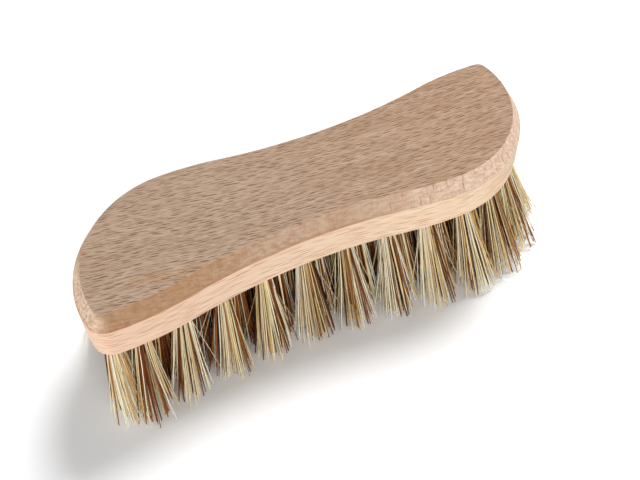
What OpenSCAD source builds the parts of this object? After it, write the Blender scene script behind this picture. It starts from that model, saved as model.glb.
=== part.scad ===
// Hand scrub brush: an S-shaped beech block with fibre tufts held in blind holes by wire anchors.
// The tips of the tufts rest on Z = 0, X runs along the block and the origin is the middle of the S.

/* [Block] */
// Length of the block, over both lobes
block_l = 210; // [190:1:230]
// Thickness of the block
block_h = 21.5; // [20:0.5:26]
// Width of the chamfer round the top face
chamfer_w = 4.3; // [2:0.1:6]
// Height of the chamfer round the top face
chamfer_h = 6.9; // [3:0.1:7]
// Small break on the edge round the underside
edge_break = 0.5; // [0.2:0.1:1.5]

/* [Outline of the S] */
// Radius of the big round of each lobe
lobe_r = 49.3; // [46:0.1:53]
// Radius of the shoulder, where the waist runs out into the lobe
shoulder_r = 138; // [120:1:160]
// Turn of the shoulder, in degrees
shoulder_a = 10.7; // [9:0.1:12]
// Radius of the end of each lobe
end_r = 38; // [30:1:45]
// Turn of the end, in degrees
end_a = 14.1; // [10:0.1:18]
// Radius of the tight corner behind each lobe
corner_r = 8; // [8:0.5:12]
// Turn of the tight corner, in degrees
corner_a = 72; // [68:0.5:76]
// Radius of the flank, between the tight corner and the waist
flank_r = 123; // [110:1:135]
// Turn of the flank, in degrees
flank_a = 14.8; // [13:0.1:16]
// Turn of the hollow waist, in degrees
waist_a = 21.3; // [19:0.1:23]
// Direction in which the outline leaves the waist, in degrees from the length of the block
start_a = 169.5; // [168:0.1:171]

/* [Tufts] */
// Length of the fibres below the block
bristle_l = 42; // [32:1:50]
// Tufts round half of the edge
edge_half = 13; // [10:1:13]
// Place of the first edge tuft, along the outline from the end of the waist
first_tuft = 10.2; // [5:0.1:14]
// Distance from the outline to the edge tufts
edge_inset = 8; // [7:0.1:9]
// Rows of tufts between the near and the far edge tufts
inner_rows = 5; // [3:2:5]
// Least distance from an inner tuft to an edge tuft or to the middle row, middle to middle
tuft_room = 9; // [9:0.1:10]
// Outward lean of the edge tufts across the block, in degrees
side_lean = 18; // [8:1:20]
// Outward lean of the tufts along the block at its ends, in degrees
end_lean = 10; // [0:1:12]
// Turn of the pattern of tips against the pattern of holes, clockwise from above, in degrees
twist_a = 2.6; // [0:0.1:3]

/* [Holes and anchors] */
// Diameter of each tuft hole
hole_d = 7; // [6:0.1:7.5]
// Depth of each tuft hole
hole_l = 14; // [10:0.5:14.5]
// Gap between a tuft and its hole, all round
tuft_gap = 0.2; // [0.1:0.05:0.4]
// Length of the tight neck of a tuft below the block
neck_l = 2.5; // [1.5:0.5:4]
// Height of the anchor wire
anchor_h = 1.8; // [1.2:0.1:2.5]
// Thickness of the anchor wire
anchor_t = 0.4; // [0.3:0.1:0.8]
// How far the anchor bites into the wood on each side of its hole
anchor_bite = 0.6; // [0.3:0.1:1]
// Thickness of the fibres folded over the anchor
fold_l = 2; // [1.5:0.1:3]
// Gap round the anchor
anchor_gap = 0.1; // [0.05:0.05:0.2]

/* [Fibres] */
// Fibres in the core of a tuft
core_n = 1; // [1:1:2]
// Fibres round the outside of a tuft
rim_n = 5; // [4:1:6]
// Distance from the middle of a tuft to its core fibres, at the neck
core_r = 0.95; // [0.9:0.05:1.1]
// Distance from the middle of a tuft to its rim fibres, at the neck
rim_r = 2.45; // [2.3:0.05:2.5]
// Thickness of a fibre
fibre_d = 1.2; // [0.8:0.1:1.3]
// Thickness of a fibre at its tip
tip_d = 1; // [0.6:0.1:1.2]
// How many times wider an edge tuft is at its tips than at its neck
edge_spread = 2.6; // [1.8:0.1:2.8]
// How many times wider an inner tuft is at its tips than at its neck
inner_spread = 2.2; // [1.8:0.1:2.3]
// Greatest height of an uneven tip above the resting plane
tip_uneven = 3; // [0:0.5:5]
// Greatest sideways stray of a tip
tip_stray = 0.7; // [0:0.1:0.9]

/* [Hidden] */
// Deepest that a chord of the outline may cut inside its arc
chord_cut = 0.05;
// A fibre bends once, this far down, with these shares of its spread and of its stray
bend_at = 0.5;
bend_spread = 0.46;
bend_stray = 0.3;
fibre_sides = 3;
// Share of the fibres that reach the resting plane; the tips of the others lie above it
share_down = 0.5;
// Turn from one tuft's pattern of fibres to the next, in degrees
pattern_a = 110;
hole_sides = 48;
// A root is a packed bundle and not turned, so a few flats are enough
root_sides = 12;
// The near side is where the outline's direction has at least this much along +X
near_cos = 0.1;
fibre_tones = ["wheat", "tan", "peru"];
top_z = bristle_l + block_h;
tuft_d = hole_d - 2 * tuft_gap;
anchor_z = hole_l - tuft_gap - fold_l - anchor_h / 2;

// An arc is [radius, turn, heading at its start]; left turns are positive and right turns negative
lobe_a = 180 + waist_a - shoulder_a - end_a - corner_a - flank_a;
function sum_first(list, n) = n <= 0 ? 0 : list[n - 1] + sum_first(list, n - 1);
function run(r, from, turn) =
    r * [sin(from + turn) - sin(from), cos(from) - cos(from + turn)];
function with_headings(pairs) =
    let (turns = [for (p = pairs) p[1]])
    [for (i = [0 : len(pairs) - 1]) [pairs[i][0], pairs[i][1], start_a + sum_first(turns, i)]];
function half_arcs(hollow_r) = with_headings([
    [shoulder_r, shoulder_a],
    [lobe_r, lobe_a],
    [end_r, end_a],
    [corner_r, corner_a],
    [flank_r, flank_a],
    [-hollow_r, -waist_a]
]);

// Run along all arcs, and run up to the heading at which the outline is furthest along -X
function whole_run(list, i = 0) =
    i == len(list) ? [0, 0] : run(list[i][0], list[i][2], list[i][1]) + whole_run(list, i + 1);
function run_to_end(list, i = 0) =
    let (turn = min(list[i][1], 270 - list[i][2]))
    run(list[i][0], list[i][2], turn) + (turn < list[i][1] ? [0, 0] : run_to_end(list, i + 1));

// The length of the S is linear in the radius of its waist, so two values give the radius
function s_length(hollow_r) =
    let (list = half_arcs(hollow_r))
    whole_run(list)[0] - 2 * run_to_end(list)[0];
waist_r = (block_l - s_length(0)) / (s_length(1) - s_length(0));
arcs = half_arcs(waist_r);
arc_starts = [
    for (i = 0, at = -whole_run(arcs) / 2; i < len(arcs);
        at = at + run(arcs[i][0], arcs[i][2], arcs[i][1]), i = i + 1)
        at
];

// A point of the outline is [x, y, heading], and the second half is the first turned half round
function arc_steps(arc) =
    max(2, ceil(abs(arc[1]) / (2 * acos(1 - chord_cut / abs(arc[0])))));
function arc_point(i, turn) =
    let (at = arc_starts[i] + run(arcs[i][0], arcs[i][2], turn))
    [at[0], at[1], arcs[i][2] + turn];
half_outline = [
    for (i = [0 : len(arcs) - 1], k = [0 : arc_steps(arcs[i]) - 1])
        arc_point(i, arcs[i][1] * k / arc_steps(arcs[i]))
];
outline = concat(half_outline, [for (p = half_outline) [-p[0], -p[1], p[2] + 180]]);
function inset(p, by) = [p[0] - by * sin(p[2]), p[1] + by * cos(p[2])];

// The edge tufts stand inside the outline, spaced along a path halfway in to them
path_lengths = [for (a = arcs) (a[0] - edge_inset / 2) * a[1] * PI / 180];
edge_pitch = sum_first(path_lengths, len(arcs)) / edge_half;
function path_at(s, i = 0) =
    s > path_lengths[i] && i < len(arcs) - 1 ?
    path_at(s - path_lengths[i], i + 1) :
    arc_point(i, s / path_lengths[i] * arcs[i][1]);
edge_points = [for (k = [0 : edge_half - 1]) path_at(first_tuft + k * edge_pitch)];
edge_places = [for (p = edge_points) inset(p, edge_inset)];

// The near side of the edge tufts' line by X; its far side is the near side turned half round
near_path = [for (p = outline) if (cos(p[2]) > near_cos) inset(p, edge_inset)];
function near_y(x) = lookup(x, near_path);
function far_y(x) = -lookup(-x, near_path);

// The near edge tufts from -X to +X: the last ones of one half, then the first ones of the other
near_edge = concat(
    [for (k = [0 : edge_half - 1]) if (edge_points[k][2] > 270) edge_places[k]],
    [for (k = [0 : edge_half - 1]) if (edge_points[k][2] <= 270) -edge_places[k]]
);

// X of a near edge tuft, or of the middle between two of them where k is a half
function near_x(k) = (near_edge[floor(k)][0] + near_edge[ceil(k)][0]) / 2;
function row_place(share, k) =
    let (x = (1 - share) * near_x(k) - share * near_x(edge_half - 1 - k))
    [x, (1 - share) * near_y(x) + share * far_y(x)];
function is_clear(place, others) = min([for (other = others) norm(other - place)]) > tuft_room;

// An inner row lies at a share of the way from the near to the far edge tufts. Its tufts stand
// between those of the rows beside it, and a place without room has none
function row_line(row) =
    let (share = row / (inner_rows + 1), first = row % 2 / 2)
    [
        for (k = [first : edge_half - 1 - first])
            let (place = row_place(share, k))
            if (is_clear(place, concat(edge_places, -edge_places))) place
    ];
middle_row = (inner_rows + 1) / 2;
middle_line = row_line(middle_row);
row_places = [
    for (row = [1 : inner_rows])
        [
            for (place = row_line(row))
                if (row == middle_row || is_clear(place, middle_line)) place
        ]
];

// A site is [x, y, slope along X, slope along Y] of a tuft's axis where it leaves the block
function site_at(place) =
    let (
        near = near_y(place[0]),
        far = far_y(place[0]),
        along = place[0] / (block_l / 2),
        across = (2 * place[1] - near - far) / (far - near)
    )
    [
        place[0],
        place[1],
        tan(end_lean) * along + tan(twist_a) * place[1] / bristle_l,
        tan(side_lean) * across - tan(twist_a) * place[0] / bristle_l
    ];
edge_sites = [for (place = edge_places) site_at(place)];
row_sites = [for (row = row_places) [for (place = row) site_at(place)]];
all_sites = concat(edge_sites, -edge_sites, [for (row = row_sites) each row]);

// Edge tufts are numbered over one half, and then over the other half, which is the first turned
function two_digits(n) = n < 10 ? str("0", n) : str(n);
function edge_name(i) = str("edge_tuft_", two_digits(i + 1));
function row_name(row) = str("inner_row_", row + 1);

// Solid between closed rings of points of one count, from the lowest ring to the highest
module skin(rings) {
    n = len(rings[0]);
    last = len(rings) - 1;
    sides = [
        for (r = [0 : last - 1], k = [0 : n - 1])
            let (a = r * n + k, b = r * n + (k + 1) % n)
            each [[a, a + n, b + n], [a, b + n, b]]
    ];
    bottom = [for (k = [0 : n - 1]) k];
    top = [for (k = [n - 1 : -1 : 0]) last * n + k];
    polyhedron([for (ring = rings) each ring], concat([bottom, top], sides));
}

// Puts its children in the frame of a hole: the mouth is at 0 and the bottom of the hole up +Z
module in_hole(site) {
    slope = norm([site[2], site[3]]);
    translate([site[0], site[1], bristle_l])
        rotate([0, -atan(slope), atan2(site[3], site[2])])
            children();
}

module at_each_tuft() {
    for (site = all_sites)
        in_hole(site)
            children();
}

module anchor(gap) {
    size = [anchor_t, hole_d + 2 * anchor_bite, anchor_h] + 2 * gap * [1, 1, 1];
    translate([0, 0, anchor_z])
        cube(size, center = true);
}

module block_body() {
    profile = [
        [edge_break, bristle_l],
        [0, bristle_l + edge_break],
        [0, top_z - chamfer_h],
        [chamfer_w, top_z]
    ];
    skin([
        for (step = profile)
            [for (p = outline) let (at = inset(p, step[0])) [at[0], at[1], step[1]]]
    ]);
}

module block() {
    color("burlywood")
        difference() {
            block_body();
            at_each_tuft() {
                translate([0, 0, -hole_d])
                    cylinder(d = hole_d, h = hole_l + hole_d, $fn = hole_sides);
                anchor(anchor_gap);
            }
        }
}

module anchors() {
    color("silver")
        at_each_tuft()
            anchor(0);
}

// One fibre: three level rings, in the neck, at the bend and cut flat at the tip
module fibre(site, spread, off, stray, tip_z) {
    root = [site[0], site[1]];
    slope = [site[2], site[3]];
    drops = [bristle_l - tip_z, bristle_l * bend_at, neck_l / 2];
    widths = [tip_d, (fibre_d + tip_d) / 2, fibre_d];
    spreads = [spread, 1 + (spread - 1) * bend_spread, 1];
    strays = [1, bend_stray, 0];
    out_a = atan2(off[1], off[0]);
    skin([
        for (r = [0 : len(drops) - 1])
            let (mid = root + slope * drops[r] + off * spreads[r] + stray * strays[r])
            [
                for (k = [0 : fibre_sides - 1])
                    let (a = out_a + 360 * k / fibre_sides, w = widths[r] / 2)
                    [mid[0] + w * cos(a), mid[1] + w * sin(a), bristle_l - drops[r]]
            ]
    ]);
}

module ring_of_fibres(site, spread, count, radius, first_a, seed) {
    lift = rands(0, 1, count, seed);
    way = rands(0, 360, count, seed + 1);
    for (k = [0 : count - 1]) {
        a = first_a + 360 * k / count;
        off = radius * [cos(a), sin(a)];
        tip_z = tip_uneven * max(0, lift[k] - share_down) / (1 - share_down);
        fibre(site, spread, off, tip_stray * [cos(way[k]), sin(way[k])], tip_z);
    }
}

// The tuft's packed root with its fibres, and the slot where it is folded over its anchor
module tuft(site, spread, number) {
    first_seed = 4 * number;
    color(fibre_tones[number % len(fibre_tones)]) {
        in_hole(site)
            difference() {
                translate([0, 0, -neck_l])
                    cylinder(d = tuft_d, h = neck_l + hole_l - tuft_gap, $fn = root_sides);
                anchor(anchor_gap);
            }
        ring_of_fibres(site, spread, core_n, core_r, pattern_a * number, first_seed);
        ring_of_fibres(site, spread, rim_n, rim_r, pattern_a * number, first_seed + 2);
    }
}

module edge_tuft(i) {
    k = i % edge_half;
    rotate([0, 0, 180 * floor(i / edge_half)])
        tuft(edge_sites[k], edge_spread, k);
}

module inner_row(row) {
    for (k = [0 : len(row_sites[row]) - 1])
        tuft(row_sites[row][k], inner_spread, edge_half * (row + 1) + k);
}

block();
anchors();
for (i = [0 : 2 * edge_half - 1])
    edge_tuft(i);
for (row = [0 : inner_rows - 1])
    inner_row(row);
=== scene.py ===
"""Hand scrub brush: an S-shaped beech block with tufts of mixed plant fibre.

The outline, the sites of the tufts and the block's profile follow the CAD part, in millimetres, and
every mesh is written in metres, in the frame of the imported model. The block is a finer mesh with
rounded edges, each tuft is a bundle of folded fibres, and the anchors keep their CAD shape.
"""

import math

import bpy
import numpy as np
from mathutils import Matrix, Vector, geometry


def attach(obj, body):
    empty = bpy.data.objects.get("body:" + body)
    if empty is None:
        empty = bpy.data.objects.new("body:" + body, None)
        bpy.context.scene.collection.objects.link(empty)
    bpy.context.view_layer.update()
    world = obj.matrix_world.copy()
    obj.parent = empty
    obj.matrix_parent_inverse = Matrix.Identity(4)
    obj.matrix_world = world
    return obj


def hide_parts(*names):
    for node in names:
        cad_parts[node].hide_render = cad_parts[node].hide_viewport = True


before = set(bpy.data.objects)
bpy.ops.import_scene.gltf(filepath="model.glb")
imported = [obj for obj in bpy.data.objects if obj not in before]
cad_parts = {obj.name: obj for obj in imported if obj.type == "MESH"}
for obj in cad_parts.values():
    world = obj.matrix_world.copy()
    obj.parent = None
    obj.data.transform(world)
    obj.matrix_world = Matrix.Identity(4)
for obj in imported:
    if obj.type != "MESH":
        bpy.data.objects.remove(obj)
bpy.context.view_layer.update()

MM = 0.001

# Block, as in the CAD part, in millimetres and degrees. Each arc is a radius and a turn
BLOCK_L, BLOCK_H = 210.0, 21.5
CHAMFER_W, CHAMFER_H = 4.3, 6.9
BRISTLE_L = 42.0
TOP_Z = BRISTLE_L + BLOCK_H
CHAMFER_Z = TOP_Z - CHAMFER_H
START_HEADING = 169.5
WAIST_TURN = 21.3
SHOULDER, END, CORNER, FLANK = (138.0, 10.7), (38.0, 14.1), (8.0, 72.0), (123.0, 14.8)
LOBE_R = 49.3
# The heading of the outline where it is furthest towards -X
TIP_HEADING = 270

# Mesh of the block: the roundings of its edges, and the sizes of its faces
UNDER_ROUND, SIDE_ROUND, TOP_ROUND = 0.6, 0.5, 1.0
ROUND_STEPS = 6
OUTLINE_STEP, WALL_STEP = 0.8, 2.5
# Width of the faces beside a rounding, which keep the smooth shading off the flat ones
EDGE_GUARD = 0.2
HOLE_SIDES = 48
SHARP_ANGLE = math.radians(35)
SAME_POINT = 1e-6

# Tufts, as in the CAD part. The leans and the twist are slopes
EDGE_HALF, FIRST_TUFT, EDGE_INSET = 13, 10.2, 8.0
INNER_ROWS, TUFT_ROOM = 5, 9.0
SIDE_LEAN, END_LEAN, TWIST = (math.tan(math.radians(a)) for a in (18.0, 10.0, 2.6))
HOLE_D, HOLE_L = 7.0, 14.0
FOLD_L, TUFT_GAP, NECK_L = 2.0, 0.2, 2.5
EDGE_SPREAD, INNER_SPREAD = 3.0, 2.6
# The near edge is where the outline heads at least this much towards +X, as a cosine
NEAR_HEADING = 0.1

# Fibres of a tuft, and their packing in its root
EDGE_FIBRES, INNER_FIBRES = 56, 44
FIBRE_SIDES = 5
FIRST_SEED = 100
WALL_MARGIN, ANCHOR_MARGIN = 0.3, 0.35
PACKING_DISORDER, LEG_DISORDER = 0.08, 0.06
GOLDEN_ANGLE = math.pi * (3 - math.sqrt(5))
# The fold over the anchor: its lowest rise, the room above its highest, and how far it sits down
FOLD_TURNS = np.radians([0, 36, 72, 108, 144, 180])
FOLD_LOW, FOLD_ROOM, FOLD_SINK = 0.5, 0.9, 0.2
# Rings of a leg: rises into its hole, then shares of the way from the hole's mouth to the tip
RISES = np.array([9.5, 5.0, 1.5])
DROPS = np.array([0, 0.03, 0.09, 0.2, 0.36, 0.54, 0.72, 0.88, 1.0])
LEG_REACH = np.concatenate([np.zeros(len(RISES)), DROPS])
FIBRE_REACH = np.concatenate([LEG_REACH[::-1], np.zeros(len(FOLD_TURNS)), LEG_REACH])

# Heights of the tips: most are nearly level, some fibres are short, and the wild ones vary
TIP_LOWEST, TIP_UNEVEN, TIP_HIGHEST = 0.3, 1.2, 4.0
SHORT_SHARE, SHORT_TIPS, WILD_TIPS = 0.07, (4, 14), (0.4, 10)
# How far the tips stray sideways, and how the legs wave and bow out on the way
STRAY, WILD_STRAY, STRAY_BOW = 1.3, (2, 6.0), 1.3
WAVE, WAVE_TURNS, SPREAD_BOWS = 0.6, (3, 8), (0.85, 1.45)
PALE_WILD, DARK_WILD, BOTH_LEGS_WILD = 0.1, 0.05, 0.5
# The tips at the -X end are pressed in by use
PRESSED_X, PRESSED_BY = (-78, -95), (6.0, -3.0)
# No fibre reaches further from the middle than this, along X and Y
REACH = np.array([113.0, 48.2])
# A few thin hairs slip sideways out of each edge tuft that isn't pressed in
STRAY_HAIRS = 3
HAIR_SLIP, HAIR_DRIFT, HAIR_BOWS = (9, 17), (-2, 2), (0.9, 1.3)

# Kinds of fibre, with their widths. The first four are pale
KIND_WIDTHS = {
    "cream": (0.3, 0.55),
    "straw": (0.34, 0.65),
    "gold": (0.4, 0.75),
    "tan": (0.34, 0.6),
    "rust": (0.45, 0.9),
    "brown": (0.45, 0.9),
    "black": (0.4, 0.8),
}
FIBRE_KINDS = tuple(KIND_WIDTHS)
PALE_KINDS = 4
PALE_MIX, DARK_MIX = np.array([0.32, 0.34, 0.18, 0.16]), np.array([0.3, 0.45, 0.25])
HAIR_KIND, HAIR_WIDTHS = "tan", (0.24, 0.38)
WILD_THINNER, TAPERS, FLATNESS = 0.65, (0.1, 0.35), (0.55, 1.0)
# Share of pale fibres in edge tufts 6 to 18, by number. The others draw theirs
PALE_SHARES = dict(
    enumerate((0.9, 0.66, 0.76, 0.64, 0.7, 0.76, 0.7, 0.8, 0.8, 0.74, 0.68, 0.6, 0.84), start=6)
)
# Inner tufts draw fewer pale fibres: partly their own mix and partly painted shade, standing in for the
# shade in the gaps between the edge tufts
EDGE_PALE, INNER_PALE = (0.55, 0.88), (0.25, 0.55)
CLUMP_SIZE, CLUMP_DISORDER = 3.3, 0.6


# Outline of the S
def run(radius, heading, turn):
    """Way along an arc, from a heading in degrees."""
    a, b = np.radians(heading), np.radians(heading + turn)
    return radius * np.array([np.sin(b) - np.sin(a), np.cos(a) - np.cos(b)])


def half_arcs(waist_r):
    """The arcs of half the outline: (radius, turn, heading at the start)."""
    lobe_turn = 180 + WAIST_TURN - SHOULDER[1] - END[1] - CORNER[1] - FLANK[1]
    pairs = [SHOULDER, (LOBE_R, lobe_turn), END, CORNER, FLANK, (-waist_r, -WAIST_TURN)]
    headings = START_HEADING + np.cumsum([0] + [turn for _, turn in pairs])
    return [(r, turn, heading) for (r, turn), heading in zip(pairs, headings)]


def s_length(waist_r):
    """Length of the S along X."""
    arcs = half_arcs(waist_r)
    whole = sum(run(r, heading, turn) for r, turn, heading in arcs)
    to_tip = sum(
        run(r, heading, min(turn, TIP_HEADING - heading))
        for r, turn, heading in arcs
        if heading < TIP_HEADING and turn > 0
    )
    return whole[0] - 2 * to_tip[0]


# The length is linear in the radius of the waist
waist_r = (BLOCK_L - s_length(0)) / (s_length(1) - s_length(0))
arcs = half_arcs(waist_r)
arc_starts = -sum(run(r, h, t) for r, t, h in arcs) / 2 + np.cumsum(
    [np.zeros(2)] + [run(r, h, t) for r, t, h in arcs[:-1]], axis=0
)


def arc_point(i, turn):
    """(x, y, heading) on arc i."""
    radius, _, heading = arcs[i]
    x, y = arc_starts[i] + run(radius, heading, turn)
    return np.array([x, y, heading + turn])


def path_point(s, lengths):
    """The point at s along the half outline, measured by the given lengths of its arcs."""
    i = 0
    while i < len(lengths) - 1 and s > lengths[i]:
        s -= lengths[i]
        i += 1
    return arc_point(i, s / lengths[i] * arcs[i][1])


def half_turned(points):
    """Points (x, y, heading) turned half round."""
    return points * [-1, -1, 1] + [0, 0, 180]


def inset(points, by):
    """Points moved by into the block, across their headings."""
    points = np.asarray(points, float)
    a = np.radians(points[..., 2])
    return points[..., :2] + by * np.stack([-np.sin(a), np.cos(a)], -1)


arc_lengths = [abs(r) * abs(math.radians(t)) for r, t, _ in arcs]
half_length = sum(arc_lengths)
half_n = round(half_length / OUTLINE_STEP)
half_outline = np.array([path_point(half_length * k / half_n, arc_lengths) for k in range(half_n)])
outline = np.concatenate([half_outline, half_turned(half_outline)])


# Sites of the tufts
def edge_points():
    """The points (x, y, heading) of half the outline that the edge tufts stand by."""
    lengths = [(r - EDGE_INSET / 2) * math.radians(t) for r, t, _ in arcs]
    pitch = sum(lengths) / EDGE_HALF
    return np.array([path_point(FIRST_TUFT + k * pitch, lengths) for k in range(EDGE_HALF)])


half_edge = edge_points()
edge_places = inset(half_edge, EDGE_INSET)
edge_places = np.concatenate([edge_places, -edge_places])
near_line = inset(outline[np.cos(np.radians(outline[:, 2])) > NEAR_HEADING], EDGE_INSET)
near_line = near_line[np.argsort(near_line[:, 0])]


def near_y(x):
    """Y of the near line of edge tufts at x."""
    return np.interp(x, near_line[:, 0], near_line[:, 1])


def far_y(x):
    """Y of the far line of edge tufts at x."""
    return -near_y(-x)


def with_room(places, others):
    """The places that are far enough from all the others."""
    gaps = np.linalg.norm(places[:, None] - others[None], axis=-1)
    return places[gaps.min(axis=1) > TUFT_ROOM]


def row_line(row):
    """Places of one inner row, at its share of the way from the near to the far edge tufts."""
    passed = half_edge[:, 2] > TIP_HEADING
    near_x = np.concatenate([edge_places[:EDGE_HALF][passed], edge_places[EDGE_HALF:][~passed]])
    near_x = near_x[:, 0]
    odd = row % 2
    k = np.arange(EDGE_HALF - odd) + 0.5 * odd
    share = row / (INNER_ROWS + 1)
    numbers = np.arange(EDGE_HALF)
    from_far = EDGE_HALF - 1 - k
    x = (1 - share) * np.interp(k, numbers, near_x) - share * np.interp(from_far, numbers, near_x)
    places = np.column_stack([x, (1 - share) * near_y(x) + share * far_y(x)])
    return with_room(places, edge_places)


def site_of(places):
    """(x, y, slope along X, slope along Y) of each tuft."""
    x, y = places.T
    near, far = near_y(x), far_y(x)
    slope_x = END_LEAN * x / (BLOCK_L / 2) + TWIST * y / BRISTLE_L
    slope_y = SIDE_LEAN * (2 * y - near - far) / (far - near) - TWIST * x / BRISTLE_L
    return np.column_stack([x, y, slope_x, slope_y])


middle_row = (INNER_ROWS + 1) // 2
middle_line = row_line(middle_row)
rows = [
    middle_line if row == middle_row else with_room(row_line(row), middle_line)
    for row in range(1, INNER_ROWS + 1)
]
half_sites = site_of(edge_places[:EDGE_HALF])
sites = np.concatenate([half_sites, -half_sites] + [site_of(row) for row in rows])

# The CAD node that each tuft belongs to, and a name for its fibres
tuft_nodes = [f"edge_tuft_{i + 1:02d}" for i in range(2 * EDGE_HALF)]
tuft_names = list(tuft_nodes)
for r, row in enumerate(rows):
    tuft_nodes += [f"inner_row_{r + 1}"] * len(row)
    tuft_names += [f"inner_row_{r + 1}_tuft_{k + 1:02d}" for k in range(len(row))]


def hole_frame(site):
    """(mouth, X, Y, Z) of a hole: X lies across its anchor, Y along it, and Z up into the block."""
    x, y, slope_x, slope_y = site
    lean, way = math.atan(math.hypot(slope_x, slope_y)), math.atan2(slope_y, slope_x)
    out = np.array([math.cos(way), math.sin(way), 0])
    up = np.array([0, 0, 1.0])
    across = out * math.cos(lean) + up * math.sin(lean)
    along = np.array([-math.sin(way), math.cos(way), 0])
    axis = up * math.cos(lean) - out * math.sin(lean)
    return np.array([x, y, BRISTLE_L]), across, along, axis


# Meshes
def make_piece(name, verts, faces, uv=None, uv_name="EdgePlace"):
    """A smooth mesh piece from millimetre points, linked to the scene."""
    mesh = bpy.data.meshes.new(name)
    mesh.from_pydata((np.asarray(verts) * MM).tolist(), [], faces)
    mesh.polygons.foreach_set("use_smooth", np.ones(len(mesh.polygons), bool))
    if uv is not None:
        layer = mesh.uv_layers.new(name=uv_name)
        layer.uv.foreach_set("vector", np.asarray(uv, np.float32).ravel())
    mesh.update()
    piece = bpy.data.objects.new(name, mesh)
    bpy.context.scene.collection.objects.link(piece)
    return piece


def rounded_corner(before, at, after, radius):
    """A rounded corner of a path, with a short straight stretch on each side."""
    before, at, after = (np.array(point) for point in (before, at, after))
    back, on = before - at, after - at
    back, on = back / np.linalg.norm(back), on / np.linalg.norm(on)
    half_angle = math.acos(np.clip(back @ on, -1, 1)) / 2
    reach = radius / math.tan(half_angle)
    middle = at + (back + on) / np.linalg.norm(back + on) * radius / math.sin(half_angle)
    start, stop = at + back * reach, at + on * reach
    a, b = start - middle, stop - middle
    turn = math.pi - 2 * half_angle
    arc = [
        middle + (a * math.sin((1 - t) * turn) + b * math.sin(t * turn)) / math.sin(turn)
        for t in np.linspace(0, 1, ROUND_STEPS + 1)
    ]
    return [start + back * EDGE_GUARD, *arc, stop + on * EDGE_GUARD]


def rounded_profile():
    """The block's wall as [inset, height] points, from the underside up to the top face."""
    corners = [
        ((0.5 * CHAMFER_W, BRISTLE_L), 0),
        ((0.0, BRISTLE_L), UNDER_ROUND),
        ((0.0, CHAMFER_Z), SIDE_ROUND),
        ((CHAMFER_W, TOP_Z), TOP_ROUND),
        ((1.5 * CHAMFER_W, TOP_Z), 0),
    ]
    points = [np.array(corners[0][0])]
    for (before, _), (at, radius), (after, _) in zip(corners, corners[1:], corners[2:]):
        points += rounded_corner(before, at, after, radius)
    points.append(np.array(corners[-1][0]))
    # Long straight stretches are split, so that no wall face is much taller than wide
    dense = [points[0]]
    for a, b in zip(points, points[1:]):
        parts = max(1, math.ceil(np.linalg.norm(b - a) / WALL_STEP))
        dense += [a + (b - a) * k / parts for k in range(1, parts + 1)]
    return dense


def is_inside(loop, at):
    """Whether a closed loop of points goes round a place."""
    a, b = loop, np.roll(loop, -1, axis=0)
    crosses = (a[:, 1] > at[1]) != (b[:, 1] > at[1])
    with np.errstate(divide="ignore", invalid="ignore"):
        x = a[:, 0] + (at[1] - a[:, 1]) / (b[:, 1] - a[:, 1]) * (b[:, 0] - a[:, 0])
    return np.count_nonzero(crosses & (x > at[0])) % 2 == 1


def flat_faces(loops):
    """Triangles of a flat face between its outer loop, which comes first, and the loops inside it."""
    points = np.concatenate(loops)
    edges, start = [], 0
    for loop in loops:
        n = len(loop)
        edges += [(start + k, start + (k + 1) % n) for k in range(n)]
        start += n
    found = geometry.delaunay_2d_cdt([Vector(p) for p in points], edges, [], 0, SAME_POINT)
    places, _, triangles, origins, _, _ = found
    own = [ids[0] for ids in origins]
    kept = []
    for triangle in triangles:
        middle = np.mean([places[i][:] for i in triangle], axis=0)
        if is_inside(loops[0], middle) and not any(is_inside(loop, middle) for loop in loops[1:]):
            kept.append(tuple(own[i] for i in triangle))
    return kept


def hole_rings():
    """Rings of points round the mouths of the holes, on the underside, and round their bottoms."""
    turns = np.radians(np.arange(HOLE_SIDES) * 360 / HOLE_SIDES)
    mouths, bottoms = [], []
    for site in sites:
        mouth, across, along, axis = hole_frame(site)
        ring = HOLE_D / 2 * (np.outer(np.cos(turns), across) + np.outer(np.sin(turns), along))
        mouths.append(mouth + ring - np.outer(ring[:, 2] / axis[2], axis))
        bottoms.append(mouth + ring + HOLE_L * axis)
    return mouths, bottoms


def hole_faces(first):
    """Walls and flat bottoms of the holes, whose points start at the number first."""
    faces = []
    for h in range(len(sites)):
        low = first + h * HOLE_SIDES
        high = low + len(sites) * HOLE_SIDES
        for k in range(HOLE_SIDES):
            j = (k + 1) % HOLE_SIDES
            faces.append((low + j, low + k, high + k, high + j))
        faces.append(tuple(high + k for k in reversed(range(HOLE_SIDES))))
    return faces


def make_block():
    """The block: its wall, with a map of the way round and up, then its flat faces and the holes."""
    profile = rounded_profile()
    n, rings = len(outline), len(profile)
    verts = [np.column_stack([inset(outline, p[0]), np.full(n, p[1])]) for p in profile]
    along = np.linspace(0, 2 * half_length, n + 1)
    up = np.concatenate([[0], np.cumsum(np.linalg.norm(np.diff(profile, axis=0), axis=1))])
    faces, uv = [], []
    for r in range(rings - 1):
        for k in range(n):
            a, b = r * n + k, r * n + (k + 1) % n
            faces.append((a, b, b + n, a + n))
            s0, s1, t0, t1 = along[k], along[k + 1], up[r], up[r + 1]
            uv += [(s0, t0), (s1, t0), (s1, t1), (s0, t1)]
    top = (rings - 1) * n
    for triangle in flat_faces([verts[-1][:, :2]]):
        faces.append(tuple(top + i for i in triangle))

    mouths, bottoms = hole_rings()
    first_hole = rings * n
    for triangle in flat_faces([verts[0][:, :2]] + [mouth[:, :2] for mouth in mouths]):
        faces.append(tuple(i if i < n else first_hole + i - n for i in reversed(triangle)))
    faces += hole_faces(first_hole)
    corner_count = sum(len(f) for f in faces)
    uv += [(0.0, 0.0)] * (corner_count - len(uv))
    piece = make_piece("block_dressed", np.concatenate(verts + mouths + bottoms), faces, uv)
    piece.data.set_sharp_from_angle(angle=SHARP_ANGLE)
    return piece


# Fibres
def unit(v):
    return v / np.linalg.norm(v, axis=-1, keepdims=True)


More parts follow.
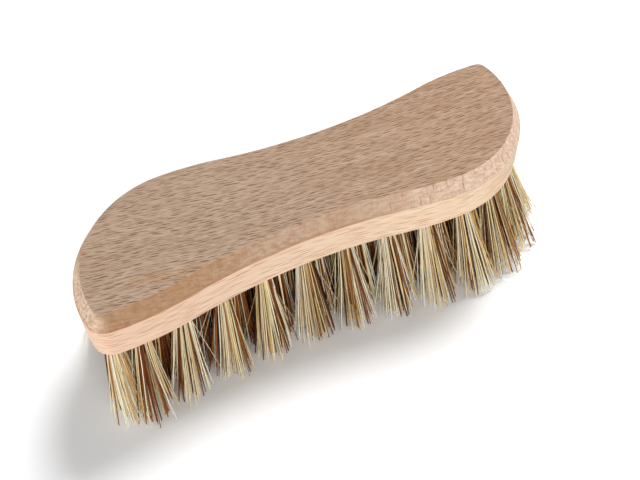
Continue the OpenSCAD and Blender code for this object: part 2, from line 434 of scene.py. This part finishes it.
def aside(ways, sizes):
    """Level vectors of the given sizes, at the given angles."""
    return sizes[:, None] * np.column_stack([np.cos(ways), np.sin(ways)])


def tubes(paths, radii, flats, turn):
    """Vertices (fibres, rings, sides, 3) of closed tubes along paths (fibres, rings, 3)."""
    tangents = unit(np.gradient(paths, axis=1))
    # A direction that no fibre has, for setting out the first ring
    askew = [0.3, 1.0, 0.2]
    normal = unit(np.cross(tangents[:, 0], askew))
    angles = turn[:, None] + 2 * np.pi * np.arange(FIBRE_SIDES) / FIBRE_SIDES
    rings = []
    for j in range(paths.shape[1]):
        t = tangents[:, j]
        normal = unit(normal - np.sum(normal * t, -1, keepdims=True) * t)
        side = np.cross(t, normal)
        out = np.cos(angles)[..., None] * normal[:, None] + (
            np.sin(angles) * flats[:, None]
        )[..., None] * side[:, None]
        rings.append(paths[:, None, j] + radii[:, j, None, None] * out)
    return np.stack(rings, axis=1)


def leg_places(count, rng):
    """Places (across, along) of the right half of a tuft's fibres in its root, in some disorder."""
    root_r = HOLE_D / 2 - TUFT_GAP - WALL_MARGIN
    k = np.arange(2 * count) + 0.5
    radius, turn = root_r * np.sqrt(k / len(k)), k * GOLDEN_ANGLE
    places = np.column_stack([radius * np.cos(turn), radius * np.sin(turn)])
    places += rng.normal(0, PACKING_DISORDER, places.shape)
    right = places[np.argsort(places[:, 0])[count:]]
    return np.column_stack([np.maximum(right[:, 0], ANCHOR_MARGIN), right[:, 1]])


def tip_heights(n, wild, rng):
    """Heights of n tips above the plane that the brush rests on."""
    z = np.minimum(np.abs(rng.normal(0, TIP_UNEVEN, n)), TIP_HIGHEST) + TIP_LOWEST
    z = np.where(rng.random(n) < SHORT_SHARE, rng.uniform(*SHORT_TIPS, n), z)
    return np.where(wild, rng.uniform(*WILD_TIPS, n), z)


def leg(site, axes, places, rng, wild, spread):
    """One leg of each fibre, from inside the hole to its tip: (fibres, rings, 3)."""
    mouth, across, along, axis = axes
    slope = np.array([site[2], site[3]])
    lean = math.hypot(*slope)
    n = len(places)
    inner = [
        mouth + np.outer(places[:, 0], across) + np.outer(places[:, 1], along) + rise * axis
        for rise in RISES
    ]
    out = across[:2] / np.linalg.norm(across[:2])
    stretch = math.sqrt(1 + lean * lean)
    off = np.outer(places[:, 0] * stretch, out) + np.outer(places[:, 1], along[:2])
    tip_z = tip_heights(n, wild, rng)
    way = rng.uniform(0, 2 * np.pi, n)
    stray = np.abs(rng.normal(0, STRAY, n)) + np.where(wild, rng.uniform(*WILD_STRAY, n), 0)
    stray = aside(way, stray)
    pressed = np.interp(-site[0], [-x for x in PRESSED_X], [0, 1]) * np.array(PRESSED_BY)
    way = rng.uniform(0, 2 * np.pi, n)
    wave = aside(way, rng.uniform(0, WAVE, n))
    phase, speed = rng.uniform(0, 2 * np.pi, n), rng.uniform(*WAVE_TURNS, n)
    bow = rng.uniform(*SPREAD_BOWS, n)
    outer = []
    for s in DROPS:
        drop = s * (BRISTLE_L - tip_z)
        free = np.clip((drop - NECK_L / 2) / (BRISTLE_L - NECK_L / 2), 0, 1)
        fan = 1 + (spread - 1) * free**bow
        at = mouth[:2] + np.outer(drop, slope) + off * fan[:, None]
        at = at + (stray + pressed) * (free**STRAY_BOW)[:, None]
        at = at + wave * (np.sin(phase + speed * drop / BRISTLE_L) * free)[:, None]
        outer.append(np.column_stack([np.clip(at, -REACH, REACH), BRISTLE_L - drop]))
    return np.stack(inner + outer, axis=1)


def bend_out(legs, count, rng):
    """The first count legs slip sideways out of the bundle, at a slant."""
    for k in range(count):
        slip = rng.choice([-1, 1]) * rng.uniform(*HAIR_SLIP)
        shift = np.array([slip, rng.uniform(*HAIR_DRIFT), 0])
        share = (BRISTLE_L - legs[k, :, 2]) / BRISTLE_L
        legs[k] += np.outer(np.clip(share, 0, 1) ** rng.uniform(*HAIR_BOWS), shift)
    legs[:count, :, :2] = np.clip(legs[:count, :, :2], -REACH, REACH)


def fold_over(axes, right, left):
    """The fibres' bends over the anchor, from the right legs to the left: (fibres, rings, 3)."""
    mouth, across, along, axis = axes
    anchor_top = HOLE_L - TUFT_GAP - FOLD_L
    half = (right[:, 0] - left[:, 0]) / 2
    centre = (right[:, 0] + left[:, 0]) / 2
    height = FOLD_LOW + (FOLD_L - FOLD_ROOM) * np.minimum(half / (HOLE_D / 2), 1)
    rings = []
    for turn in FOLD_TURNS:
        x = centre + half * np.cos(turn)
        y = right[:, 1] + (left[:, 1] - right[:, 1]) * turn / np.pi
        z = anchor_top - FOLD_SINK + height * np.sin(turn)
        rings.append(mouth + np.outer(x, across) + np.outer(y, along) + np.outer(z, axis))
    return np.stack(rings, axis=1)


def pick_kinds(places, number, rng):
    """A kind for each fibre. Neighbours in the bundle are often alike, and tufts differ in mix."""
    # The inner tufts' darker draw is partly painted shade in the gaps between the edge tufts
    drawn = rng.uniform(*(EDGE_PALE if number <= 2 * EDGE_HALF else INNER_PALE))
    pale = PALE_SHARES.get(number, drawn)
    mix = np.concatenate([PALE_MIX * pale, DARK_MIX * (1 - pale)])
    way = rng.uniform(0, 2 * np.pi)
    field = places @ [math.cos(way), math.sin(way)] / CLUMP_SIZE
    field = field + CLUMP_DISORDER * rng.normal(size=len(places))
    order = rng.permutation(len(FIBRE_KINDS))
    edges = np.cumsum(mix[order])
    rank = np.argsort(np.argsort(field)) / len(field)
    return order[np.minimum(np.searchsorted(edges, rank), len(order) - 1)]


def tube_sizes(kinds, wild, hairs, rng):
    """Radii (fibres, rings), flatness and turn of each fibre. The tips are a little thinner."""
    low, high = np.array([KIND_WIDTHS[FIBRE_KINDS[k]] for k in kinds]).T
    width = rng.uniform(low, high) * np.where(wild, WILD_THINNER, 1)
    width[:hairs] = rng.uniform(*HAIR_WIDTHS, hairs)
    n = len(width)
    taper = rng.uniform(*TAPERS, n)
    radii = width[:, None] / 2 * (1 - taper[:, None] * FIBRE_REACH[None] ** 2)
    flats = rng.uniform(*FLATNESS, n)
    return radii, flats, rng.uniform(0, 2 * np.pi, n)


def tube_faces(f, r, s):
    """Faces round f tubes of r rings with s sides, then the caps at their first and last rings."""
    base = (np.arange(f) * r * s)[:, None, None]
    ring = (np.arange(r - 1) * s)[None, :, None]
    k = np.arange(s)[None, None]
    a, b = base + ring + k, base + ring + (k + 1) % s
    quads = np.stack([a, b, b + s, a + s], -1).reshape(-1, 4)
    first = base[:, 0] + np.arange(s)
    caps = np.concatenate([first[:, ::-1], first + (r - 1) * s])
    return quads.tolist() + caps.tolist()


def tube_map(f, r, s):
    """The places of those faces' corners on a map: a strip for each tube, with its caps at the ends."""
    margin, cap_half, cap_v, cap_r = 0.05, 0.3, 0.004, 0.003
    length = np.linspace(0.01, 0.99, r)
    k = np.arange(s)[None, None]
    tube = np.arange(f)[:, None, None] / f
    u0, u1 = (tube + (margin + (1 - 2 * margin) * side / s) / f for side in (k, k + 1))
    v0, v1 = length[:-1][None, :, None], length[1:][None, :, None]
    u0, u1, v0, v1 = (np.broadcast_to(w, (f, r - 1, s)) for w in (u0, u1, v0, v1))
    quads = np.stack([u0, v0, u1, v0, u1, v1, u0, v1], -1).reshape(-1, 2)
    angle = 2 * np.pi * np.arange(s) / s
    cap_u = (np.arange(f)[:, None] + 0.5 + cap_half * np.cos(angle)) / f
    cap_v = np.broadcast_to(cap_v + cap_r * np.sin(angle), (f, s))
    first_cap = np.stack([cap_u[:, ::-1], cap_v[:, ::-1]], -1).reshape(-1, 2)
    last_cap = np.stack([cap_u, 1 - cap_v], -1).reshape(-1, 2)
    return np.concatenate([quads, first_cap, last_cap])


def make_tuft(i):
    """One tuft: fibres folded over the anchor, each with two legs that leave the hole and splay."""
    rng = np.random.default_rng(FIRST_SEED + i)
    site = sites[i]
    axes = hole_frame(site)
    on_edge = i < 2 * EDGE_HALF
    spread = EDGE_SPREAD if on_edge else INNER_SPREAD
    right = leg_places(EDGE_FIBRES if on_edge else INNER_FIBRES, rng)
    left = right * [-1, 1] + rng.normal(0, LEG_DISORDER, right.shape)
    left[:, 0] = np.minimum(left[:, 0], -ANCHOR_MARGIN)
    kinds = pick_kinds(right, i + 1, rng)
    wild = rng.random(len(right)) < np.where(kinds < PALE_KINDS, PALE_WILD, DARK_WILD)
    right_legs = leg(site, axes, right, rng, wild, spread)
    both_wild = wild & (rng.random(len(right)) < BOTH_LEGS_WILD)
    left_legs = leg(site, axes, left, rng, both_wild, spread)
    hairs = STRAY_HAIRS if on_edge and site[0] > PRESSED_X[0] else 0
    bend_out(right_legs, hairs, rng)
    kinds[:hairs] = FIBRE_KINDS.index(HAIR_KIND)
    paths = [right_legs[:, ::-1], fold_over(axes, right, left), left_legs]
    points = tubes(np.concatenate(paths, axis=1), *tube_sizes(kinds, wild, hairs, rng))
    f, r, s = points.shape[:3]
    name, faces, uv = tuft_names[i] + "_fibres", tube_faces(f, r, s), tube_map(f, r, s)
    piece = make_piece(name, points.reshape(-1, 3), faces, uv, "OFBake")
    mesh = piece.data
    for material in fibre_materials:
        mesh.materials.append(material)
    face_kinds = np.concatenate([np.repeat(kinds, (r - 1) * s), kinds, kinds])
    mesh.polygons.foreach_set("material_index", face_kinds.astype(np.int32))
    strand = mesh.attributes.new("strand", "FLOAT", "POINT")
    strand.data.foreach_set("value", np.repeat(rng.random(f), r * s).astype(np.float32))
    reach = mesh.attributes.new("reach", "FLOAT", "POINT")
    shares = np.tile(np.repeat(FIBRE_REACH, s), f)
    reach.data.foreach_set("value", shares.astype(np.float32))
    return piece


# Materials
def srgb(r, g, b):
    """A colour written as it shows, from 0 to 255, as a linear RGBA."""
    c = np.array([r, g, b]) / 255
    return (*np.where(c <= 0.04045, c / 12.92, ((c + 0.055) / 1.055) ** 2.4).tolist(), 1.0)


class Graph:
    """Short calls for building a material's nodes."""

    def __init__(self, name):
        self.material = bpy.data.materials.new(name)
        self.material.use_nodes = True
        self.tree = self.material.node_tree
        self.tree.nodes.clear()

    def put(self, socket, value):
        """Link or set a value on an input."""
        if isinstance(value, bpy.types.NodeSocket):
            self.tree.links.new(value, socket)
        else:
            socket.default_value = value

    def add(self, kind, inputs=None, **settings):
        node = self.tree.nodes.new("ShaderNode" + kind)
        for key, value in settings.items():
            setattr(node, key, value)
        for key, value in (inputs or {}).items():
            self.put(node.inputs[key], value)
        return node

    def place(self):
        """The place in the object, in millimetres."""
        return self.vector("MULTIPLY", self.add("TexCoord").outputs["Object"], (1 / MM,) * 3)

    def math(self, operation, *values):
        return self.add("Math", dict(enumerate(values)), operation=operation).outputs[0]

    def times(self, a, b):
        return self.math("MULTIPLY", a, b)

    def vector(self, operation, *values):
        return self.add("VectorMath", dict(enumerate(values)), operation=operation).outputs[0]

    def length(self, vector):
        return self.add("VectorMath", {0: vector}, operation="LENGTH").outputs["Value"]

    def apart(self, vector):
        return self.add("SeparateXYZ", {0: vector}).outputs

    def joined(self, *parts):
        return self.add("CombineXYZ", dict(enumerate(parts))).outputs[0]

    def noise(self, vector, sizes, detail=2.0, roughness=0.5, shift=None):
        """Noise with features of the given sizes along each axis, moved by shift in those units."""
        scaled = self.vector("MULTIPLY", vector, tuple(1 / s for s in sizes))
        if shift is not None:
            scaled = self.vector("ADD", scaled, shift)
        inputs = {"Vector": scaled, "Scale": 1.0, "Detail": detail, "Roughness": roughness}
        return self.add("TexNoise", inputs).outputs["Fac"]

    def step(self, value, low, high, to_low=0.0, to_high=1.0):
        """A smooth step from to_low to to_high, as value goes from low to high."""
        inputs = {"Value": value, "From Min": low, "From Max": high}
        inputs.update({"To Min": to_low, "To Max": to_high})
        return self.add("MapRange", inputs, interpolation_type="SMOOTHSTEP").outputs[0]

    def mix(self, share, a, b):
        """A colour that goes from a to b with share."""
        node = self.add("Mix", data_type="RGBA")
        for socket, value in zip((node.inputs[0], node.inputs[6], node.inputs[7]), (share, a, b)):
            self.put(socket, value)
        return node.outputs[2]

    def finish(self, colour, roughness, height, bump, **fixed):
        """A Principled surface; height is in metres."""
        inputs = {"Base Color": colour, "Roughness": roughness, **fixed}
        relief = self.add("Bump", {"Height": height, "Strength": bump, "Distance": 1.0})
        inputs["Normal"] = relief.outputs[0]
        shader = self.add("BsdfPrincipled", inputs)
        self.add("OutputMaterial", {"Surface": shader.outputs[0]})
        return self.material


# Beech. Sizes are in millimetres, and a pair of colours is for the lobes at -X and at +X, which
# change over along this stretch of X
LOBES_CHANGE = (-60, 75)
# The grain's slope across the block against +X at the middle, how it changes per millimetre, and how
# far the grain wanders
GRAIN_SLOPE, GRAIN_BEND, GRAIN_WANDER = 0.155, -0.00095, 5.0

# Strokes: the cell that each has, its half size, the share of cells with one, and a seed
PORES = ((5.8, 1.25), (2.4, 0.21), 0.9, 3.1)
SHORT_PORES = ((4.0, 0.9), (1.6, 0.14), 0.7, 11.3)
CUTTER_MARKS = ((3.4, 6.0), (0.4, 2.9), 0.6, 7.9)
WALL_PORES = ((9.5, 1.25), (4.2, 0.19), 0.85, 5.7)
# The rows of strokes are set off by this share of a cell, so that no columns of them show
ROW_SHIFT = 0.382
STROKE_DISORDER = 0.75
# A stroke's soft edge, in half sizes, the strength of the faintest, and the blur of their share
STROKE_EDGE, FAINTEST, SHARE_BLUR = (1.15, 0.5), 0.45, 0.05

# The side's colours, and the chamfer's between them and the top's, are partly the wood's own tone and
# partly painted light: the stronger front light on the side and chamfer is painted into them
FACE_PALE = srgb(195, 167, 143), srgb(192, 155, 126)
FACE_DEEP = srgb(186, 157, 132), srgb(177, 139, 107)
DARK_THREAD, LIGHT_THREAD = srgb(152, 119, 91), srgb(220, 194, 170)
PORE = srgb(94, 58, 32)
# A golden streak in the top by the edge of one lobe, and its place across the grain
STREAK, STREAK_Y = srgb(192, 146, 98), -33.0

# Tones along X: where each begins and where it is full. The last, pale one at the -X end is partly
# end grain and partly a painted highlight of light from the left
CHAMFER_START = srgb(188, 149, 113)
CHAMFER_TONES = (
    (-70, -20, srgb(207, 177, 150)),
    (5, 60, srgb(250, 221, 198)),
    (-96, -102, srgb(247, 219, 191)),
)
CHAMFER_MOTTLE = srgb(150, 108, 74), srgb(196, 152, 122)
CHAMFER_BLOTCH = srgb(176, 128, 84), srgb(198, 156, 130)
CHAMFER_CUT, CHAMFER_RIM = srgb(150, 104, 78), srgb(178, 122, 82)
WALL_START = srgb(235, 203, 179)
WALL_TONES = (
    (-95, -30, srgb(238, 212, 186)),
    (0, 80, srgb(243, 217, 189)),
)
WALL_LINE = srgb(222, 178, 146), srgb(228, 190, 150)
WALL_PORE = srgb(178, 124, 86)
# Small reddish spots by the edge of the top: their places and half lengths
RED_SPOTS = (((-90, -32.6, 58), 2.2), ((-15, -21.5, 63), 1.3), ((10, -27.3, 58), 1.8))
RED = srgb(164, 84, 66)

# Heights of the relief, in metres, and the share of gloss
PORE_DEPTH, THREAD_HEIGHT, CUT_DEPTH = 0.00007, 0.00003, 0.00004
BEECH_BUMP, BEECH_GLOSS = 0.5, 0.25


def dashes(g, place, cell, half_size, share, seed):
    """Short flat strokes in a plane, at most one to a cell, as a strength from 0 to 1."""
    cells = g.vector("MULTIPLY", place, (1 / cell[0], 1 / cell[1], 1))
    u, v, _ = g.apart(g.vector("ADD", cells, (seed, seed * 1.7, 0)))
    at = g.joined(g.math("MULTIPLY_ADD", v, ROW_SHIFT, u), v)
    inputs = {"Vector": at, "Scale": 1.0, "Randomness": STROKE_DISORDER}
    spots = g.add("TexVoronoi", inputs, voronoi_dimensions="2D").outputs
    # The texture gives the place of the nearest spot, and the stroke lies round it
    away_u, away_v, _ = g.apart(g.vector("SUBTRACT", at, spots["Position"]))
    away = g.joined(g.math("MULTIPLY_ADD", away_v, -ROW_SHIFT, away_u), away_v)
    away = g.vector("MULTIPLY", away, (cell[0] / half_size[0], cell[1] / half_size[1], 0))
    stroke = g.step(g.length(away), *STROKE_EDGE)
    chance, force, _ = g.add("SeparateColor", {0: spots["Color"]}).outputs
    there = g.step(chance, share + SHARE_BLUR, share - SHARE_BLUR)
    return g.times(g.times(stroke, there), g.step(force, 0.0, 1.0, FAINTEST, 1.0))


def toned(g, x, start, tones):
    """A colour that changes along X from the start to each of the tones."""
    colour = start
    for begins, full, tone in tones:
        colour = g.mix(g.step(x, begins, full), colour, tone)
    return colour


def beech_face(g, place, grain, lobe):
    """Flat faces: (colour, strength of the pores, threads)."""
    x, across, _ = g.apart(grain)
    tone = g.noise(grain, (120, 8, 8), 3.0, 0.55)
    cloud = g.noise(place, (26, 16, 16))
    threads = g.noise(grain, (9, 0.38, 0.38), 3.0, 0.65)
    light_threads = g.noise(grain, (9, 0.4, 0.4), 2.0, 0.6, shift=(0, 31, 0))
    short_pores = g.times(dashes(g, grain, *SHORT_PORES), 0.65)
    pores = g.math("MAXIMUM", dashes(g, grain, *PORES), short_pores)
    pores = g.times(pores, g.step(cloud, 0.25, 0.65, 0.9, 1.0))
    colour = g.mix(g.step(tone, 0.3, 0.7), g.mix(lobe, *FACE_DEEP), g.mix(lobe, *FACE_PALE))
    streak_y = g.math("ABSOLUTE", g.math("SUBTRACT", across, STREAK_Y))
    streak = g.times(g.step(streak_y, 3.6, 0.8), g.step(x, -90, -80))
    streak = g.times(g.times(streak, g.step(x, -44, -58)), 0.42)
    colour = g.mix(streak, colour, STREAK)
    colour = g.mix(g.step(threads, 0.3, 0.62, 0.6, 0.0), colour, DARK_THREAD)
    colour = g.mix(g.step(light_threads, 0.46, 0.72, 0.0, 0.6), colour, LIGHT_THREAD)
    return g.mix(pores, colour, PORE), pores, threads


def beech_chamfer(g, place, edge_place, mottle, lobe):
    """Chamfer: orange and mottled at one lobe, paler and pinker at the other, with cutter marks
    across it; its paleness beside the top is partly painted light: (colour, strength of the marks)."""
    x, _, z = g.apart(place)
    blotch = g.noise(place, (9, 7, 7), 3.0, 0.6)
    colour = toned(g, x, CHAMFER_START, CHAMFER_TONES)
    colour = g.mix(g.step(mottle, 0.3, 0.66, 0.65, 0.0), colour, g.mix(lobe, *CHAMFER_MOTTLE))
    colour = g.mix(g.step(blotch, 0.45, 0.75, 0.0, 0.35), colour, g.mix(lobe, *CHAMFER_BLOTCH))
    fine_cuts = g.step(g.noise(edge_place, (0.55, 2.4, 1)), 0.5, 0.72, 0.0, 0.6)
    cuts = g.math("MAXIMUM", dashes(g, edge_place, *CUTTER_MARKS), fine_cuts)
    cuts = g.times(cuts, g.step(x, 5, 50, 0.4, 0.9))
    colour = g.mix(g.times(cuts, 0.62), colour, CHAMFER_CUT)
    low_rim = g.times(g.step(z, CHAMFER_Z + 1.6, CHAMFER_Z + 0.4), g.step(x, 40, 0, 0.0, 0.45))
    return g.mix(low_rim, colour, CHAMFER_RIM), cuts


def beech_wall(g, place, edge_place, lobe):
    """Side: pale, with long thin growth lines that lie nearly level, and fine pores. Its paleness is
    partly the wood's own tone and partly painted light from the front.
    """
    x, y, z = g.apart(place)
    tilt = g.math("MULTIPLY_ADD", x, 0.03, g.times(y, 0.12))
    level = g.joined(x, y, g.math("ADD", z, tilt))
    lines = g.step(g.noise(level, (22, 22, 0.5), 3.0, 0.6), 0.4, 0.66, 0.0, 0.8)
    s, t, _ = g.apart(edge_place)
    pores = dashes(g, g.joined(s, g.math("MULTIPLY_ADD", s, 0.07, t)), *WALL_PORES)
    colour = toned(g, x, WALL_START, WALL_TONES)
    colour = g.mix(lines, colour, g.mix(lobe, *WALL_LINE))
    return g.mix(pores, colour, WALL_PORE)


def with_red_spots(g, colour, place, mottle):
    """The colour with the small spots, whose edges follow the mottle."""
    for spot, half in RED_SPOTS:
        away = g.vector("SUBTRACT", place, spot)
        far = g.length(g.vector("MULTIPLY", away, (1 / half, 1.6 / half, 1.2 / half)))
        far = g.math("ADD", far, g.times(g.math("SUBTRACT", mottle, 0.5), 1.4))
        colour = g.mix(g.step(far, 1.0, 0.3, 0.0, 0.6), colour, RED)
    return colour


def beech_material():
    g = Graph("beech")
    place = g.place()
    x, y, z = g.apart(place)
    edge_place = g.add("UVMap", uv_map="EdgePlace").outputs[0]
    lobe = g.step(x, *LOBES_CHANGE)

    # Along the grain, and across it
    bend = g.times(x, g.math("MULTIPLY_ADD", x, GRAIN_BEND / 2, GRAIN_SLOPE))
    wander = g.times(g.noise(place, (60, 30, 60), 1.0), GRAIN_WANDER)
    grain = g.joined(x, g.math("ADD", y, g.math("ADD", bend, wander)), z)
    mottle = g.noise(grain, (4, 1.1, 1.1), 4.0, 0.65)

    face, pores, threads = beech_face(g, place, grain, lobe)
    slope, cuts = beech_chamfer(g, place, edge_place, mottle, lobe)
    wall = beech_wall(g, place, edge_place, lobe)
    side = g.step(z, CHAMFER_Z + 0.35, CHAMFER_Z - 0.15)
    top = g.step(z, TOP_Z - 0.45, TOP_Z - 0.05)
    under = g.step(z, BRISTLE_L + 0.3, BRISTLE_L + 0.05)
    flat = g.math("MAXIMUM", top, under)
    # The paler chamfer and side are partly painted light from the front
    colour = g.mix(flat, slope, face)
    colour = g.mix(g.times(side, g.math("SUBTRACT", 1.0, under)), colour, wall)
    colour = with_red_spots(g, colour, place, mottle)

    roughness = g.step(g.noise(grain, (20, 3, 3)), 0.3, 0.7, 0.55, 0.7)
    pits = g.times(g.times(pores, flat), -PORE_DEPTH)
    height = g.math("MULTIPLY_ADD", threads, THREAD_HEIGHT, pits)
    height = g.math("MULTIPLY_ADD", cuts, -CUT_DEPTH, height)
    return g.finish(colour, roughness, height, BEECH_BUMP, **{"Specular IOR Level": BEECH_GLOSS})


# Each kind of fibre: its shade in the dark, its own colour and its pale streaks
FIBRE_TONES = {
    "cream": ((240, 218, 166), (255, 247, 218), (255, 252, 240)),
    "straw": ((218, 184, 120), (253, 235, 178), (255, 247, 212)),
    "gold": ((164, 116, 60), (224, 180, 114), (246, 220, 162)),
    "tan": ((160, 128, 88), (220, 194, 150), (244, 228, 192)),
    "rust": ((86, 42, 16), (144, 84, 42), (194, 136, 86)),
    "brown": ((50, 22, 7), (100, 52, 21), (148, 92, 50)),
    "black": ((30, 12, 4), (62, 30, 12), (108, 66, 36)),
}
RIDGE_HEIGHT, FIBRE_BUMP, FIBRE_GLOSS = 0.00005, 0.4, 0.12


def fibre_material(kind):
    g = Graph("fibre_" + kind)
    dark, own, pale = (srgb(*tone) for tone in FIBRE_TONES[kind])
    place = g.place()
    strand = g.add("Attribute", attribute_name="strand").outputs["Fac"]
    reach = g.add("Attribute", attribute_name="reach").outputs["Fac"]
    streak = g.noise(place, (0.5, 0.5, 7), 3.0, 0.6, shift=strand)
    shade = g.math("ADD", g.times(strand, 0.75), g.times(streak, 0.6))
    colour = g.mix(g.step(shade, 0.15, 0.6), dark, own)
    colour = g.mix(g.step(shade, 0.55, 1.05), colour, pale)
    # The cut tips are dry and pale
    tip = g.times(g.step(reach, 0.8, 1.0), g.step(strand, 0.1, 0.9, 0.2, 0.9))
    colour = g.mix(tip, colour, pale)
    roughness = g.step(streak, 0.3, 0.7, 0.5, 0.7)
    ridges = g.times(g.noise(place, (0.14, 0.14, 12)), RIDGE_HEIGHT)
    return g.finish(colour, roughness, ridges, FIBRE_BUMP, **{"Specular IOR Level": FIBRE_GLOSS})


STEEL = srgb(150, 150, 152), srgb(196, 196, 198)
STAIN = srgb(128, 112, 96)
BRUSHING_HEIGHT, WIRE_BUMP = 0.00002, 0.3


def wire_material():
    g = Graph("anchor_wire")
    place = g.place()
    brushed = g.noise(place, (0.3, 3, 0.3), 3.0, 0.6)
    stain = g.noise(place, (4, 4, 4))
    colour = g.mix(g.step(brushed, 0.3, 0.7), *STEEL)
    colour = g.mix(g.step(stain, 0.5, 0.8, 0.0, 0.4), colour, STAIN)
    roughness = g.step(brushed, 0.3, 0.7, 0.25, 0.45)
    height = g.times(brushed, BRUSHING_HEIGHT)
    return g.finish(colour, roughness, height, WIRE_BUMP, Metallic=1.0)


# The floor, in metres. FLOOR_SEEN is its linear colour as a background
PAPER = srgb(238, 238, 238), srgb(240, 240, 240)
FLOOR_SEEN = (1.21, 1.22, 1.235, 1.0)
FLOOR_HALF, FLOOR_FADE = 4.0, (0.35, 0.7)
WHITE = (1.0, 1.0, 1.0, 1.0)


def background_rays(tree):
    """1 for the rays that show the background: from the camera, or by way of gloss or glass."""
    path = tree.nodes.new("ShaderNodeLightPath")
    shown = path.outputs["Is Camera Ray"]
    for kind in ("Is Glossy Ray", "Is Transmission Ray"):
        either = tree.nodes.new("ShaderNodeMath")
        either.operation = "MAXIMUM"
        tree.links.new(shown, either.inputs[0])
        tree.links.new(path.outputs[kind], either.inputs[1])
        shown = either.outputs[0]
    return shown


def floor_material():
    """Pale and matt. As a background it is brighter, so that it is white where no shadow falls, and
    it stays white far from the object."""
    g = Graph("floor")
    seen = background_rays(g.tree)
    place = g.add("TexCoord").outputs["Object"]
    paper = g.mix(g.step(g.noise(place, (0.4, 0.4, 0.4), 1.0), 0.3, 0.7), *PAPER)
    matt = g.add("BsdfDiffuse", {"Color": g.mix(seen, paper, FLOOR_SEEN)}).outputs[0]
    white = g.add("Emission", {"Color": WHITE, "Strength": 1.0}).outputs[0]
    far = g.times(g.step(g.length(place), *FLOOR_FADE), seen)
    shader = g.add("MixShader", {0: far, 1: matt, 2: white})
    g.add("OutputMaterial", {"Surface": shader.outputs[0]})
    return g.material


# Camera and light, in metres, degrees and watts
CAMERA_TURN, CAMERA_RISE, CAMERA_ROLL = (math.radians(a) for a in (-24.24, 51.01, -2.25))
CAMERA_AWAY, CAMERA_SIDE, CAMERA_DOWN = 0.3728, -0.00332, -0.0133
LENS, SENSOR, CLIP = 48.87, 36.0, (0.01, 20)
SKY, SKY_SEEN = 0.12, 1.0
# Each lamp: its name, place, width and power. All of them face one point
LAMPS = (
    ("key", (0.6, 0.52, 1.15), 0.52, 14.3),
    ("fill", (-0.15, -1.15, 0.28), 1.1, 12.2),
    ("side", (-1.1, 0.15, 0.16), 0.7, 7.6),
)
LAMP_AIM = Vector((0, 0, 0.03))


def make_camera():
    """Faces a point beside and below the middle of the block's underside."""
    turn, rise, roll = CAMERA_TURN, CAMERA_RISE, CAMERA_ROLL
    level = Vector((math.cos(turn), math.sin(turn), 0))
    ahead = (-math.sin(turn) * math.cos(rise), math.cos(turn) * math.cos(rise), -math.sin(rise))
    ahead = Vector(ahead)
    leaned = ahead.cross(level)
    right = level * math.cos(roll) - leaned * math.sin(roll)
    down = level * math.sin(roll) + leaned * math.cos(roll)
    place = -(right * CAMERA_SIDE + down * CAMERA_DOWN + ahead * CAMERA_AWAY)
    place.z += BRISTLE_L * MM
    data = bpy.data.cameras.new("camera")
    data.lens, data.sensor_width, data.sensor_fit = LENS, SENSOR, "HORIZONTAL"
    data.clip_start, data.clip_end = CLIP
    camera = bpy.data.objects.new("camera", data)
    axes = Matrix((right, -down, -ahead)).transposed()
    camera.matrix_world = Matrix.Translation(place) @ axes.to_4x4()
    bpy.context.scene.collection.objects.link(camera)
    bpy.context.scene.camera = camera


def make_lamp(name, place, size, power):
    data = bpy.data.lights.new(name, "AREA")
    data.shape, data.size, data.energy = "DISK", size, power
    lamp = bpy.data.objects.new(name, data)
    lamp.location = place
    lamp.rotation_euler = (LAMP_AIM - Vector(place)).to_track_quat("-Z", "Y").to_euler()
    bpy.context.scene.collection.objects.link(lamp)


def make_floor():
    corners = np.array([(-1, -1, 0), (1, -1, 0), (1, 1, 0), (-1, 1, 0)]) * FLOOR_HALF
    floor = make_piece("floor", corners / MM, [(0, 1, 2, 3)])
    floor.data.materials.append(floor_material())


def make_sky():
    """A dim even light, which shows as white."""
    world = bpy.data.worlds.new("studio")
    bpy.context.scene.world = world
    world.use_nodes = True
    tree = world.node_tree
    tree.nodes.clear()
    strength = tree.nodes.new("ShaderNodeMapRange")
    tree.links.new(background_rays(tree), strength.inputs["Value"])
    strength.inputs["To Min"].default_value = SKY
    strength.inputs["To Max"].default_value = SKY_SEEN
    sky = tree.nodes.new("ShaderNodeBackground")
    sky.inputs["Color"].default_value = WHITE
    tree.links.new(strength.outputs[0], sky.inputs["Strength"])
    out = tree.nodes.new("ShaderNodeOutputWorld")
    tree.links.new(sky.outputs[0], out.inputs["Surface"])


# The brush
beech = beech_material()
fibre_materials = [fibre_material(kind) for kind in FIBRE_KINDS]
wire = wire_material()

block = make_block()
block.data.materials.append(beech)
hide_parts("block")
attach(block, "root")

for i in range(len(sites)):
    tuft = make_tuft(i)
    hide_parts(tuft_nodes[i])
    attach(tuft, "root")

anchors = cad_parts["anchors"]
for slot in anchors.material_slots:
    slot.material = wire

make_camera()
make_floor()
make_sky()
for lamp in LAMPS:
    make_lamp(*lamp)
bpy.context.scene.view_settings.view_transform = "Standard"
